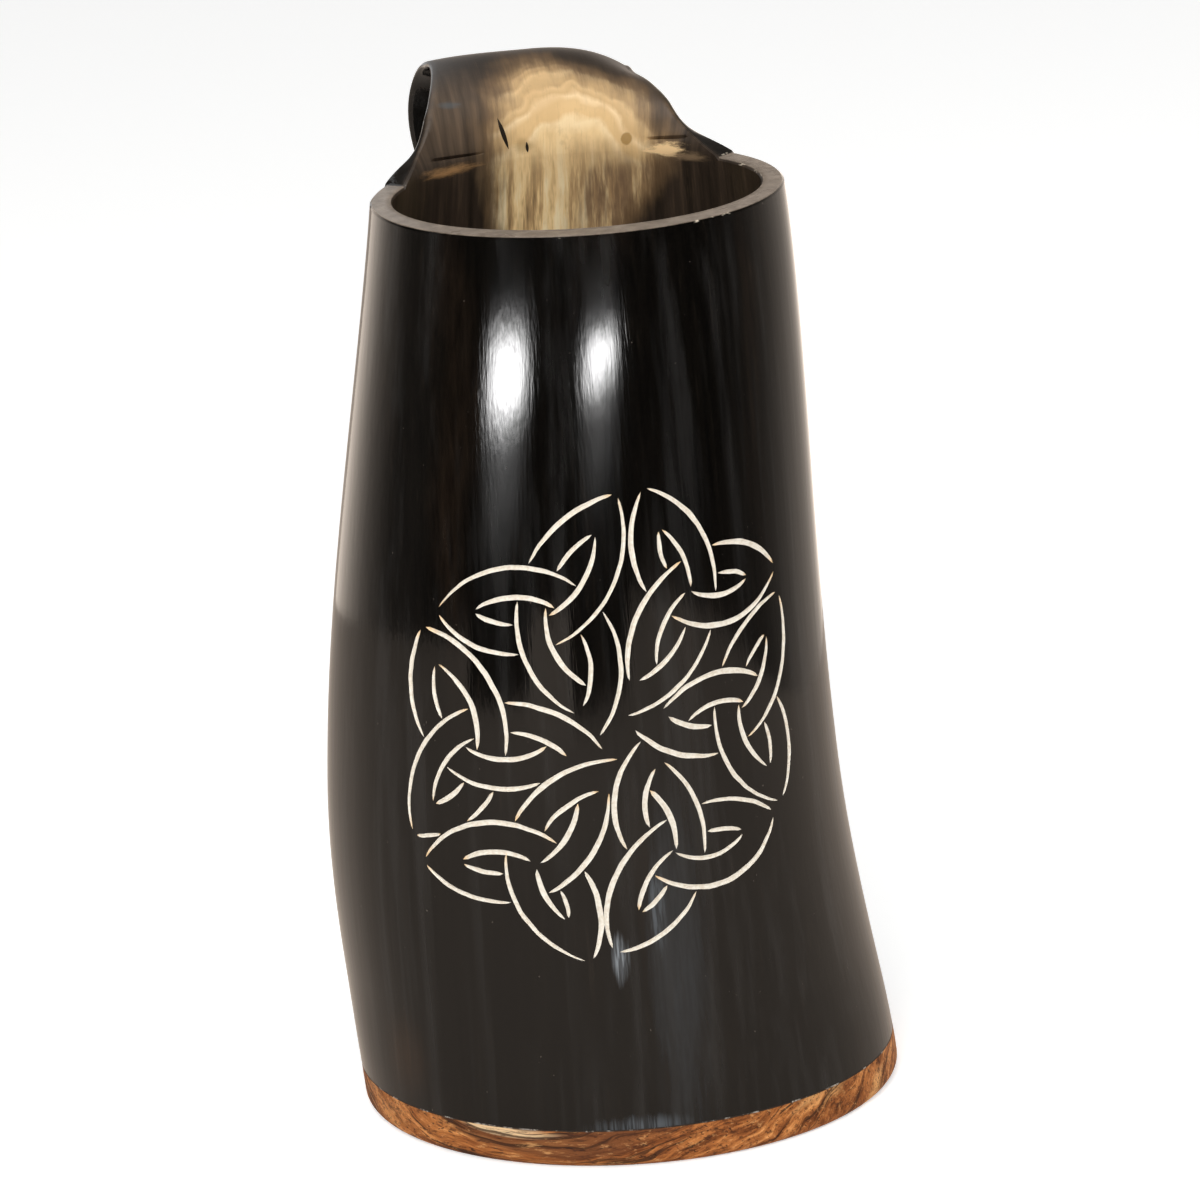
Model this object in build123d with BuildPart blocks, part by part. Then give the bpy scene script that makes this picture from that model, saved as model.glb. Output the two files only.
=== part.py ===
"""Horn drinking cup: a bowed tube of horn with a handle bent over from its own back wall, on a wooden base.

Millimetres, +Z up. The origin is the middle of the base's underside, and the handle is on the +Y side.
"""

import os
from math import atan2, cos, degrees, hypot, pi, radians, sin, sqrt

from build123d import *

# Horn tube, outside
rim_height = 165.0  # underside of the base to the sawn rim
base_half_width = 48.0  # along X, at the underside of the base
base_half_depth = 43.2  # along Y, at the underside of the base
rim_half_width = 35.9  # along X, at the rim
rim_half_depth = 30.9  # along Y, at the rim
taper_power = 1.55  # above 1, the tube narrows late on its way up
bow_depth = 5.4  # how far the horn bows towards -X
bow_height = 60.0  # where it bows most

# Horn tube, walls
side_wall = 4.0
front_wall = 5.4

# Wooden base, its glue and the bead that seals it
base_thickness = 7.0
base_edge_radius = 2.0
plug_height = 6.0
plug_clearance = 0.15
base_glue_thickness = 0.25
bead_width = 4.0
bead_height = 4.0
bead_lip = 0.3

# Handle strip, which leaves the back of the rim, bends over and comes down to a foot on the wall
handle_azimuth = 8.0  # degrees from straight back towards -X
root_half_angle = 50.0  # degrees of the rim, each side of the handle's plane
handle_rise = 12.6  # middle of the strip above the rim, at its top
apex_reach = 17.5  # middle of the strip behind the middle of the back wall, at its top
knuckle_reach = 35.0  # the same, where the strip is furthest back
knuckle_drop = 17.0  # furthest back point below the rim
foot_height = 72.0  # end of the strip above the underside of the base
foot_length = 20.0  # stretch of the strip that lies on the wall
grip_half_width = 18.0
foot_half_width = 10.0
apex_thickness = 3.8
foot_thickness = 4.0
crown = 3.0  # how far the strip's long edges lie below its middle, past the bend

# Foot of the handle: filed to fit the wall, with a glue bed and two pins
foot_seat = 0.8  # how much of the foot's thickness is filed away
handle_glue_gap = 0.6
pin_radius = 1.5
pin_spacing = 9.0
pin_grip = 3.0  # how deep a pin stands in the wall
pin_head_radius = 2.4
pin_head_height = 1.1
pin_head_round = 0.8

# How closely the smooth forms follow their formulas
tube_stations = 10
handle_stations = (0.3, 0.55, 0.8, 1.1, 1.5, 2.0, 2.3, 2.6, 3.0, 3.4, 3.7, 3.9, 4.0)
edge_bulge = 0.4  # roundness of the strip's long edges, in thicknesses
quarter_round = 0.5523  # control length of a cubic that follows a quarter ellipse


def share_of_height(z):
    """How far up the tube a height lies, bent so that most of the taper comes late."""
    return (z / rim_height) ** taper_power


def half_width(z):
    """Outside half width of the horn along X at a height."""
    return base_half_width + (rim_half_width - base_half_width) * share_of_height(z)


def half_depth(z):
    """Outside half depth of the horn along Y at a height."""
    return base_half_depth + (rim_half_depth - base_half_depth) * share_of_height(z)


def bow(z):
    """Sideways place of the horn's middle at a height: none at the base and at the rim."""
    if z < bow_height:
        return -bow_depth * sin(pi / 2 * z / bow_height) ** 1.3
    return -bow_depth * max(cos(pi / 2 * (z - bow_height) / (rim_height - bow_height)), 0.0) ** 1.5


def heights(bottom, top, count):
    """Evenly spaced heights from bottom to top."""
    return [bottom + (top - bottom) * step / (count - 1) for step in range(count)]


def ease(share):
    """Smooth step from 0 to 1."""
    held = min(max(share, 0.0), 1.0)
    return held * held * (3 - 2 * held)


horn_bottom = base_thickness + base_glue_thickness
plug_top = base_thickness + plug_height

# Outside of the horn, as a solid that reaches down to the wood
with BuildPart() as horn_outside:
    for z in heights(base_thickness, rim_height, tube_stations):
        with BuildSketch(Plane.XY.offset(z)):
            with Locations((bow(z), 0)):
                Ellipse(half_width(z), half_depth(z))
    loft()

# Bore of the horn, as a solid
with BuildPart() as horn_bore:
    for z in heights(base_thickness, rim_height, tube_stations):
        with BuildSketch(Plane.XY.offset(z)):
            with Locations((bow(z), 0)):
                Ellipse(half_width(z) - side_wall, half_depth(z) - front_wall)
    loft()

# Middle line of the handle strip, in the handle's upright plane: x runs backwards and y upwards
azimuth = radians(handle_azimuth)
backwards = Vector(-sin(azimuth), cos(azimuth), 0)
sideways = Vector(cos(azimuth), sin(azimuth), 0)
handle_plane = Plane(origin=(0, 0, 0), x_dir=backwards, z_dir=sideways)


def reach_of_wall(z, side_inset=0.0, front_inset=0.0):
    """Distance from the rim's axis back to the wall at a height, in the handle's plane."""
    wide = half_width(z) - side_inset
    deep = half_depth(z) - front_inset
    return 1 / hypot(sin(azimuth) / wide, cos(azimuth) / deep) - bow(z) * sin(azimuth)


def on_wall(z):
    """Middle of the strip at a height where its filed foot is glued to the wall."""
    return (reach_of_wall(z) + handle_glue_gap + foot_thickness / 2 - foot_seat, z)


wall_middle = (reach_of_wall(rim_height) + reach_of_wall(rim_height, side_wall, front_wall)) / 2
root = (wall_middle, rim_height)
apex = (wall_middle + apex_reach, rim_height + handle_rise)
knuckle = (wall_middle + knuckle_reach, rim_height - knuckle_drop)
foot_end = on_wall(foot_height)
foot_start = on_wall(foot_height + foot_length)
leg_length = knuckle[1] - foot_start[1]
foot_slope = (foot_start[0] - foot_end[0]) / foot_length

with BuildLine(handle_plane) as handle_line:
    bend = Bezier(
        root,
        (root[0], root[1] + quarter_round * handle_rise),
        (apex[0] - quarter_round * apex_reach, apex[1]),
        apex,
    )
    over = Bezier(
        apex,
        (apex[0] + quarter_round * (knuckle[0] - apex[0]), apex[1]),
        (knuckle[0], knuckle[1] + quarter_round * (apex[1] - knuckle[1])),
        knuckle,
    )
    leg = Bezier(
        knuckle,
        (knuckle[0], knuckle[1] - leg_length / 2),
        (foot_start[0] + foot_slope * leg_length / 2, foot_start[1] + leg_length / 2),
        foot_start,
    )
    sole = Line(foot_start, foot_end)

stretches = (bend, over, leg, sole)
root_half_width = wall_middle * sin(radians(root_half_angle)) * rim_half_width / rim_half_depth
root_sag = wall_middle * (1 - cos(radians(root_half_angle)))
foot_crown = foot_half_width**2 * half_depth(foot_height) / half_width(foot_height) ** 2 / 2


def strip_half_width(u):
    """Half width of the strip: it draws in from the root to the grip, then tapers to a rounded foot."""
    flare = (root_half_width - grip_half_width) * max(1 - u, 0.0) ** 2.2
    taper = (foot_half_width - grip_half_width) * ease((u - 1) / 2)
    toe = sqrt(1 - max((u - 3.4) / 0.66, 0.0) ** 2)
    return (grip_half_width + flare + taper) * toe


def strip_sag(u):
    """How far the long edges stand on the cup's side of the middle: a gutter at the root, crowned later."""
    gutter = root_sag * max(1 - u, 0.0) ** 2.5
    fitted = foot_crown * (strip_half_width(u) / foot_half_width) ** 2
    return gutter - crown * ease(u) + (crown - fitted) * ease((u - 1) / 2)


def strip_thickness(u):
    """Thickness of the strip: that of the wall at the root, thinner over the bend and at the foot."""
    root_part = (front_wall - apex_thickness) * max(1 - u, 0.0)
    return apex_thickness + root_part + (foot_thickness - apex_thickness) * ease((u - 1) / 2)


def strip_plane(u):
    """Plane across the strip at a place: x along its width, y towards the side that the fingers touch.

    Down the leg the strip turns, until its foot faces the back of the wall squarely.
    """
    number = min(int(u), len(stretches) - 1)
    stretch = stretches[number]
    turn = azimuth * (1 - ease(u - 2))
    return Plane(
        origin=stretch @ (u - number),
        x_dir=(cos(turn), sin(turn), 0),
        z_dir=stretch % (u - number),
    )


def rim_angle(direction, side_inset=0.0, front_inset=0.0):
    """Ellipse angle, in degrees, of the point of the rim that lies in a direction from its middle."""
    wide = rim_half_width - side_inset
    deep = rim_half_depth - front_inset
    return degrees(atan2(sin(direction) / deep, cos(direction) / wide))


# Handle strip before its foot is fitted to the wall
with BuildPart() as handle_blank:
    right_end = radians(90 + handle_azimuth - root_half_angle)
    left_end = radians(90 + handle_azimuth + root_half_angle)
    with BuildSketch(Plane.XY.offset(rim_height)):
        with BuildLine():
            root_arcs = []
            for side_inset, front_inset in ((0, 0), (side_wall, front_wall)):
                start = rim_angle(right_end, side_inset, front_inset)
                end = rim_angle(left_end, side_inset, front_inset)
                root_arcs.append(
                    EllipticalCenterArc(
                        (0, 0),
                        rim_half_width - side_inset,
                        rim_half_depth - front_inset,
                        start,
                        arc_size=end - start,
                    )
                )
            Line(root_arcs[0] @ 0, root_arcs[1] @ 0)
            Line(root_arcs[0] @ 1, root_arcs[1] @ 1)
        make_face()
    for u in handle_stations:
        wide = strip_half_width(u)
        low = -strip_sag(u)
        half = strip_thickness(u) / 2
        bulge = wide + strip_thickness(u) * edge_bulge
        with BuildSketch(strip_plane(u)):
            with BuildLine():
                ThreePointArc((-wide, low + half), (0, half), (wide, low + half))
                ThreePointArc((wide, low + half), (bulge, low), (wide, low - half))
                ThreePointArc((wide, low - half), (0, -half), (-wide, low - half))
                ThreePointArc((-wide, low - half), (-bulge, low), (-wide, low + half))
            make_face()
    loft()

# Outside of the horn with the handle's glue bed on it, up to the middle of the handle's leg
with BuildPart() as glued_outside:
    for z in heights(base_thickness, rim_height, tube_stations):
        with BuildSketch(Plane.XY.offset(z)):
            with Locations((bow(z), 0)):
                Ellipse(half_width(z) + handle_glue_gap, half_depth(z) + handle_glue_gap)
    loft()
    split(bisect_by=Plane.XY.offset(foot_start[1] + leg_length / 2), keep=Keep.BOTTOM)

# Pins through the foot, square to it and spaced evenly about its middle
with BuildPart() as handle_pins:
    for side in (-1, 1):
        u = 3.5 + side * pin_spacing / 2 / foot_length
        across = strip_plane(u)
        outside = across.origin - across.y_dir * strip_thickness(u) / 2
        with BuildSketch(Plane(origin=outside, x_dir=across.x_dir, z_dir=across.y_dir)):
            Circle(pin_radius)
        extrude(amount=strip_thickness(u) - foot_seat + handle_glue_gap + pin_grip)
        with BuildSketch(Plane(origin=outside, x_dir=across.x_dir, z_dir=-across.y_dir)):
            Circle(pin_head_radius)
        extrude(amount=pin_head_height)
        top_of_head = outside - across.y_dir * pin_head_height
        fillet(edges().sort_by_distance(top_of_head)[0], radius=pin_head_round)

# Horn: the tube and the handle, one piece, with the pins' holes
with BuildPart() as horn_body:
    add(handle_blank.part)
    add(glued_outside.part, mode=Mode.SUBTRACT)
    add(horn_outside.part)
    add(horn_bore.part, mode=Mode.SUBTRACT)
    split(bisect_by=Plane.XY.offset(horn_bottom), keep=Keep.TOP)
    add(handle_pins.part, mode=Mode.SUBTRACT)

# Bed of resin under the foot of the handle
with BuildPart() as handle_glue:
    add(handle_blank.part)
    add(glued_outside.part, mode=Mode.INTERSECT)
    add(horn_outside.part, mode=Mode.SUBTRACT)
    add(handle_pins.part, mode=Mode.SUBTRACT)

# Plug of the base: the bore's own form less its clearance
with BuildPart() as base_plug:
    for z in heights(base_thickness, rim_height, tube_stations):
        with BuildSketch(Plane.XY.offset(z)):
            with Locations((bow(z), 0)):
                Ellipse(
                    half_width(z) - side_wall - plug_clearance,
                    half_depth(z) - front_wall - plug_clearance,
                )
    loft()
    split(bisect_by=Plane.XY.offset(plug_top), keep=Keep.BOTTOM)

# Wooden base: a disc flush with the horn, and the plug that stands in the bore
with BuildPart() as base_disc:
    for z in heights(0, base_thickness, 3):
        with BuildSketch(Plane.XY.offset(z)):
            with Locations((bow(z), 0)):
                Ellipse(half_width(z), half_depth(z))
    loft()
    fillet(edges().group_by(Axis.Z)[0], radius=base_edge_radius)
    add(base_plug.part)

# Line of glue between the sawn end of the horn and the base
with BuildPart() as base_glue:
    add(horn_outside.part)
    add(horn_bore.part, mode=Mode.SUBTRACT)
    split(bisect_by=Plane.XY.offset(horn_bottom), keep=Keep.BOTTOM)

# Space inside the bead of resin, which widens upwards in a hollow curve
with BuildPart() as bead_space:
    for z in heights(plug_top, plug_top + bead_height, 4):
        inset = bead_lip + (bead_width - bead_lip) * (1 - (z - plug_top) / bead_height) ** 2
        with BuildSketch(Plane.XY.offset(z)):
            with Locations((bow(z), 0)):
                Ellipse(half_width(z) - side_wall - inset, half_depth(z) - front_wall - inset)
    loft()

# Bead of resin in the corner between the plug and the bore
with BuildPart() as seal_bead:
    add(horn_bore.part)
    split(bisect_by=Plane.XY.offset(plug_top), keep=Keep.TOP)
    split(bisect_by=Plane.XY.offset(plug_top + bead_height), keep=Keep.BOTTOM)
    add(bead_space.part, mode=Mode.SUBTRACT)

pieces = {
    "horn_body": horn_body,
    "base_disc": base_disc,
    "base_glue": base_glue,
    "seal_bead": seal_bead,
    "handle_glue": handle_glue,
    "handle_pins": handle_pins,
}
os.makedirs("parts", exist_ok=True)
for name, piece in pieces.items():
    piece.part.label = name
    export_step(piece.part, f"parts/{name}.step")
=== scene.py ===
"""Looks of the horn drinking cup: polished horn with an engraved knot, and finishes for the rest.

Sizes are millimetres in the CAD's frame, +Z up with the engraved front towards -Y. They become
metres as a mesh is made.
"""

import bpy
import numpy as np
from mathutils import Matrix
from mathutils.geometry import delaunay_2d_cdt


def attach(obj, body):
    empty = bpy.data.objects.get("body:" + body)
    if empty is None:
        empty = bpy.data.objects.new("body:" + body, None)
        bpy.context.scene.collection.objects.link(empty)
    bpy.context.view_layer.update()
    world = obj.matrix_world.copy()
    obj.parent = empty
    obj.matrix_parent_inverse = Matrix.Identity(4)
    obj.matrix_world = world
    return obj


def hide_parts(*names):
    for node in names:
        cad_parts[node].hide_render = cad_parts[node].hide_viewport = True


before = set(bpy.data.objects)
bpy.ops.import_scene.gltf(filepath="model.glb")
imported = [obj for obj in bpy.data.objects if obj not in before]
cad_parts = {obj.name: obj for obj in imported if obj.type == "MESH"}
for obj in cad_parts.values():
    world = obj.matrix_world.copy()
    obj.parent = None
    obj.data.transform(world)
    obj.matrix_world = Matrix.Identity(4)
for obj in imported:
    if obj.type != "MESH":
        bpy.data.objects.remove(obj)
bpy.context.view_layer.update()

metres = 0.001

# Wood of the base: the way its fibres run and the way across its growth layers
fibre_way = np.array([0.94, -0.342, 0.0])
layer_way = np.array([-0.213, -0.586, 0.781])

# Horn tube, as in the CAD
rim_height = 165.0
base_half_width, base_half_depth = 48.0, 43.2
rim_half_width, rim_half_depth = 35.9, 30.9
taper_power = 1.55
bow_depth, bow_height = 5.4, 60.0
bow_power_below, bow_power_above = 1.3, 1.5
side_wall, front_wall = 4.0, 5.4
horn_bottom = 7.25
mean_radius = 40.0

# Handle strip, as in the CAD. A place along it is 0 at the rim, 1 at the top of the bend, 2 at the
# knuckle, 3 where the foot begins and 4 at the toe
handle_azimuth = np.radians(8.0)
root_half_angle = np.radians(50.0)
handle_rise, apex_reach = 12.6, 17.5
knuckle_reach, knuckle_drop = 35.0, 17.0
foot_height, foot_length = 72.0, 20.0
grip_half_width, foot_half_width = 18.0, 10.0
flare_power, gutter_power = 2.2, 2.5
toe_start, toe_run = 3.4, 0.66
tip_start, tip_run, tip_loss = 3.85, 0.15, 0.75
apex_thickness, foot_thickness = 3.8, 4.0
crown = 3.0
foot_seat, handle_glue_gap = 0.8, 0.6
quarter_round = 0.5523  # arm of a cubic curve that draws a quarter of a circle

# Handle strip as it was carved: each side's half width at the grip, what it gains towards the rim
# and by which power, and the fillet that runs out into the rim, with the share of the bend it takes
carved_right = (16.9, 5.5, 2.0, 11.0, 0.08)
carved_left = (17.2, 5.6, 1.2, 11.0, 0.09)
edge_thinning = 0.6  # share of the thickness that is worked away at the long edges
thinning_start, thinning_end, thinning_fade = 0.12, 2.7, 0.5
knuckle_swell, swell_place, swell_run = 5.0, 1.65, 0.45  # the left side is widest at the knuckle
left_lift, lift_end = 3.6, 1.2  # the left side is less crowned
right_fall, fall_place, fall_run = 1.1, 0.95, 0.3  # the right shoulder falls away to its edge
edge_bulge, bulge_start = 0.25, 0.3
root_middle, root_turn = np.radians(-8.25), np.radians(45.25)  # the root's place on the rim
root_blend = 0.45  # share of the bend over which the rim's ring becomes the strip's own section
filed_from = 2.4  # from here on the strip is filed clear of the wall
polish_loss = 0.12  # thickness that polishing took off the strip
# Two slits in the fold: where, how long and how deep, and in mm across where each opens and closes
slit_place, slit_run, slit_depth = 0.066, 0.005, 1.0
slit_spans = (((-25.0, 4.0), (-11.5, 4.0)), ((17.0, 3.0), (26.0, 2.0)))

# Surface detail of the horn
rim_chamfer = 0.45
hand_polish = 0.05  # how far the polished wall waves in from its true form
polish_waves = ((0.6, 4, 17.0, 0.9), (0.4, 7, -14.0, 2.0))  # size, times round, mm a radian, start
polish_bottom, polish_fade_in = 9.0, 18.0
polish_top, polish_fade_out = rim_height - 2.0, 22.0
swelling, swelling_height = 0.6, 145.0  # fullest part of the front, which the rest lies inside
swelling_above, swelling_below = 28.0, 40.0

# Marks on the outside in metres. The first four are painted highlights: pale bluish glints and streaky
# reflections on the lower front. The last is a brown cloud in the horn. Each has middle, half size, where
# the edge begins and ends, amount, share that is broken into fine streaks, colour
painted_glints_and_brown_cloud = (
    ((0.0092, -0.0395, 0.036), (0.005, 0.009, 0.030), (1.3, 0.3), 0.6, 0.2, (0.033, 0.036, 0.039)),
    ((-0.0008, -0.0418, 0.0385), (0.0014, 0.004, 0.0048), (1.2, 0.2), 0.9, 0.8, (0.36, 0.39, 0.42)),
    ((0.0060, -0.0405, 0.047), (0.0016, 0.004, 0.010), (1.2, 0.2), 0.6, 0.8, (0.12, 0.135, 0.15)),
    ((0.0010, -0.0430, 0.0075), (0.0090, 0.006, 0.0022), (1.2, 0.2), 0.7, 0.8, (0.105, 0.12, 0.135)),
    ((-0.0400, -0.0260, 0.0165), (0.0040, 0.006, 0.007), (1.6, 0.0), 0.35, 0.4, (0.068, 0.033, 0.015)),
)
# Marks on the strip, in its millimetres across and along: middle, half size, raggedness, where the
# edge begins and ends, amount, colour
strip_marks = (
    ((21.5, 0.3, 1), (4.8, 1.2, 1), 2.4, (1.0, 0.3), 0.9, (0.90, 0.62, 0.32)),
    ((26.0, -0.5, 1), (4.6, 0.9, 1), 1.6, (1.2, 0.2), 0.5, (0.36, 0.24, 0.135)),
    ((-20.0, -0.1, 1), (7.0, 0.8, 1), 2.2, (1.3, 0.1), 0.6, (0.51, 0.277, 0.112)),
    ((13.9, 1.9, 1), (1.0, 0.9, 1), 0.4, (1.15, 0.8), 0.9, (0.36, 0.21, 0.068)),
    ((-4.6, 2.2, 1), (1.9, 1.5, 1), 1.0, (1.2, 0.3), 0.6, (0.36, 0.225, 0.083)),
    ((-17.5, 10.3, 1), (2.2, 0.9, 1), 1.6, (1.3, 0.3), 0.5, (0.083, 0.102, 0.112)),
)
# Cracks in the strip, in its millimetres across and along: start, end, half width
long_crack = ((-9.2, 7.4), (-7.2, 1.8), 0.4)
short_crack = ((-3.9, 2.8), (-3.7, 0.9), 0.28)

# Knot: the three tips of each triangle, counter-clockwise as seen and the hub last, in mm round the
# front and mm up, and the angle in degrees at which each outer line leaves its straight chord
front_radius = 43.2  # turns an angle round the front into mm
knot_triangles = (
    (((6.5, 120.5), (-27.0, 100.0), (4.5, 80.5)), (80, 89, 80)),
    (((41.0, 101.5), (11.5, 121.0), (10.5, 82.0)), (86, 74, 86)),
    (((37.5, 60.0), (41.5, 97.0), (11.0, 77.0)), (79, 76, 98)),
    (((2.5, 39.5), (35.5, 58.5), (9.0, 75.5)), (73, 99, 77)),
    (((-29.5, 55.0), (-1.5, 38.0), (3.5, 74.0)), (92, 78, 76)),
    (((-30.0, 97.0), (-31.5, 59.5), (2.0, 78.0)), (87, 78, 88)),
)
band_width = 5.2  # between the two lines of a strand
line_gap = 0.55  # a line stops this far from the band that passes over it
tip_gap = 0.7
hub_overshoot, hub_delay = 2.6, 5.8  # at the hub, lines run in past their tip and leave it late
hub_depth = 0.2 * band_width  # and inner lines stop this deep in the next band
line_overrun, line_samples = 0.12, 900
neighbour_gap, neighbour_step = 0.7, 6
shortest_line = 4.5
line_half_width = 0.46
groove_depth, depth_power = 0.55, 0.7
fill_depths = (0.02, 0.42, 0.02, 0.94)  # of the filling's four lines, as shares of the groove's depth

# The hand that cut the knot: mm between points, how far widths waver and lines drift, and the range
# of each cut's lean, fullness and width. Lines shorter than full_length are thinner
cut_step = 0.9
width_waver, line_drift, hand_smoothing = 0.07, 0.06, (0.25, 0.5, 0.25)
lean_range, fullness_range, width_range = (0.75, 1.3), (0.34, 0.48), (0.88, 1.12)
full_length, short_power = 9.0, 0.4

# Block of the front wall that holds the knot, in mm up and degrees round
block_heights, block_degrees = (31, 129), (-59, 63)


def ease(share):
    """Smooth step from 0 to 1: 3 s^2 - 2 s^3."""
    held = np.clip(share, 0.0, 1.0)
    return held * held * (3 - 2 * held)


def bell(value, middle, run):
    """Bell curve: e to the power of minus the square of the distance from its middle in runs."""
    return np.exp(-(((value - middle) / run) ** 2))


def half_width(z):
    """Outside half width along X: the base's, drawn in to the rim's by a power of the height's share."""
    return base_half_width + (rim_half_width - base_half_width) * (z / rim_height) ** taper_power


def half_depth(z):
    """Outside half depth along Y, by the same rule."""
    return base_half_depth + (rim_half_depth - base_half_depth) * (z / rim_height) ** taper_power


def bow(z):
    """Sideways place of the horn's middle: a quarter sine up to the bow's height, then a quarter
    cosine to the rim, each to a power."""
    below = np.clip(z / bow_height, 0, 1)
    above = np.clip((z - bow_height) / (rim_height - bow_height), 0, 1)
    low = np.sin(np.pi / 2 * below) ** bow_power_below
    high = np.cos(np.pi / 2 * above).clip(0) ** bow_power_above
    return -bow_depth * np.where(z < bow_height, low, high)


def wall_point(angle, z, side_inset=0.0, front_inset=0.0):
    """Point of the tube: an ellipse round its bowed middle, the angle counted from front to +X."""
    wide, deep = half_width(z) - side_inset, half_depth(z) - front_inset
    x, y, z = np.broadcast_arrays(bow(z) + wide * np.sin(angle), -deep * np.cos(angle), z)
    return np.stack([x, y, z], -1)


def normal_of(surface, angle, z, step):
    """Outward normal of a wall: the cross product of its two slopes, by central differences over a
    step in mm."""
    turn = step / mean_radius
    round_it = surface(angle + turn, z) - surface(angle - turn, z)
    up_it = surface(angle, z + step) - surface(angle, z - step)
    across = np.cross(round_it, up_it)
    return across / np.linalg.norm(across, axis=-1, keepdims=True)


def polish_wave(angle, z):
    """How far the hand-polished wall lies inside its true form: two slow waves, and all but a
    swelling in front."""
    waves = sum(size * np.sin(n * angle + z / rise + start) for size, n, rise, start in polish_waves)
    waved = hand_polish * (1 + waves) * ease((polish_top - z) / polish_fade_out)
    reach = np.where(z > swelling_height, swelling_above, swelling_below)
    fallen = swelling * (1 - bell(z, swelling_height, reach))
    in_front = ease(2 * np.cos(angle) + 0.2)
    return (waved + fallen * in_front) * ease((z - polish_bottom) / polish_fade_in)


def polished_point(angle, z, depth=0.0):
    """Point of the outside wall, moved in along the true normal by the wave and by a depth."""
    inwards = polish_wave(angle, z) + depth
    return wall_point(angle, z) - normal_of(wall_point, angle, z, 0.01) * inwards[..., None]


# Middle line of the handle, in its own upright plane: distance back from the axis, and height
def reach_of_wall(z, side_inset=0.0, front_inset=0.0):
    """Distance from the axis back to the wall in the handle's plane, from the ellipse's equation."""
    wide, deep = half_width(z) - side_inset, half_depth(z) - front_inset
    from_middle = 1 / np.hypot(np.sin(handle_azimuth) / wide, np.cos(handle_azimuth) / deep)
    return from_middle - bow(z) * np.sin(handle_azimuth)


wall_middle = (reach_of_wall(rim_height) + reach_of_wall(rim_height, side_wall, front_wall)) / 2
foot_stand = handle_glue_gap + foot_thickness / 2 - foot_seat
foot_top = foot_height + foot_length
root = np.array([wall_middle, rim_height])
apex = root + (apex_reach, handle_rise)
knuckle = root + (knuckle_reach, -knuckle_drop)
foot_start = np.array([reach_of_wall(foot_top) + foot_stand, foot_top])
foot_end = np.array([reach_of_wall(foot_height) + foot_stand, foot_height])
over = quarter_round * (knuckle - apex)
leg_half = (knuckle[1] - foot_start[1]) / 2
foot_third = (foot_end - foot_start) / 3
foot_run = (foot_start - foot_end) / foot_length
handle_curves = np.array([
    [root, root + (0, quarter_round * handle_rise), apex - (quarter_round * apex_reach, 0), apex],
    [apex, apex + (over[0], 0), knuckle - (0, over[1]), knuckle],
    [knuckle, knuckle - (0, leg_half), foot_start + foot_run * leg_half, foot_start],
    [foot_start, foot_start + foot_third, foot_end - foot_third, foot_end],
])
root_half_width = wall_middle * np.sin(root_half_angle) * rim_half_width / rim_half_depth
root_sag = wall_middle * (1 - np.cos(root_half_angle))
foot_crown = foot_half_width**2 * half_depth(foot_height) / half_width(foot_height) ** 2 / 2


def strip_outline(u, grip, flare):
    """Half width of the strip: the grip's and the flare's, tapered to the foot and an elliptical toe."""
    taper = (foot_half_width - grip) * ease((u - 1) / 2)
    toe = np.sqrt(1 - np.clip((u - toe_start) / toe_run, 0, 1) ** 2)
    return (grip + flare + taper) * toe


def strip_half_width(u):
    """Half width of the CAD's strip, flared by a power of the way from the top to the root."""
    flare = (root_half_width - grip_half_width) * np.clip(1 - u, 0, 1) ** flare_power
    return strip_outline(u, grip_half_width, flare)


def carved_half_width(u, grip, gain, power, fillet, fillet_run):
    """Half width of one side as carved, flared by a power of the way to the root and a fillet that
    decays with the way from it."""
    flare = gain * np.clip(1 - u, 0, 1) ** power + fillet * np.exp(-u / fillet_run)
    return strip_outline(u, grip, flare)


def strip_across(u, v):
    """Place across the strip, + to the right: each side's half width times its share, with the
    knuckle's swell."""
    left = carved_half_width(u, *carved_left) + knuckle_swell * bell(u, swell_place, swell_run)
    right = carved_half_width(u, *carved_right)
    return np.where(v < 0, left[:, None], right[:, None]) * v


def strip_sag(u):
    """How far the long edges stand on the cup's side of the middle: a gutter at the root, crowned
    after it, and fitted to the wall at the foot."""
    gutter = root_sag * np.clip(1 - u, 0, 1) ** gutter_power
    fitted = foot_crown * (strip_half_width(u) / foot_half_width) ** 2
    return gutter - crown * ease(u) + (crown - fitted) * ease((u - 1) / 2)


def strip_thickness(u):
    """Thickness of the strip: the wall's at the root, thinner over the bend, rounded off at the toe."""
    root_part = (front_wall - apex_thickness) * np.clip(1 - u, 0, 1)
    full = apex_thickness + root_part + (foot_thickness - apex_thickness) * ease((u - 1) / 2)
    return full * np.sqrt(1 - tip_loss * np.clip((u - tip_start) / tip_run, 0, 1) ** 2)


def strip_frames(u):
    """Origin, width way and finger-side way of the strip: cubic Bezier points and their tangents."""
    number = np.clip(np.floor(u), 0, len(handle_curves) - 1).astype(int)
    a, b, c, d = handle_curves[number].transpose(1, 0, 2)
    t = (u - number)[:, None]
    place = (1 - t) ** 3 * a + 3 * (1 - t) ** 2 * t * b + 3 * (1 - t) * t**2 * c + t**3 * d
    run = (1 - t) ** 2 * (b - a) + 2 * (1 - t) * t * (c - b) + t**2 * (d - c)
    run /= np.linalg.norm(run, axis=1, keepdims=True)
    backwards = np.array([-np.sin(handle_azimuth), np.cos(handle_azimuth), 0])
    upwards = np.array([0, 0, 1.0])
    origin = place[:, :1] * backwards + place[:, 1:] * upwards
    along = run[:, :1] * backwards + run[:, 1:] * upwards
    turn = handle_azimuth * (1 - ease(u - 2))
    width_way = np.stack([np.cos(turn), np.sin(turn), 0 * turn], -1)
    width_way -= (width_way * along).sum(1, keepdims=True) * along
    width_way /= np.linalg.norm(width_way, axis=1, keepdims=True)
    return origin, width_way, np.cross(along, width_way)


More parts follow.
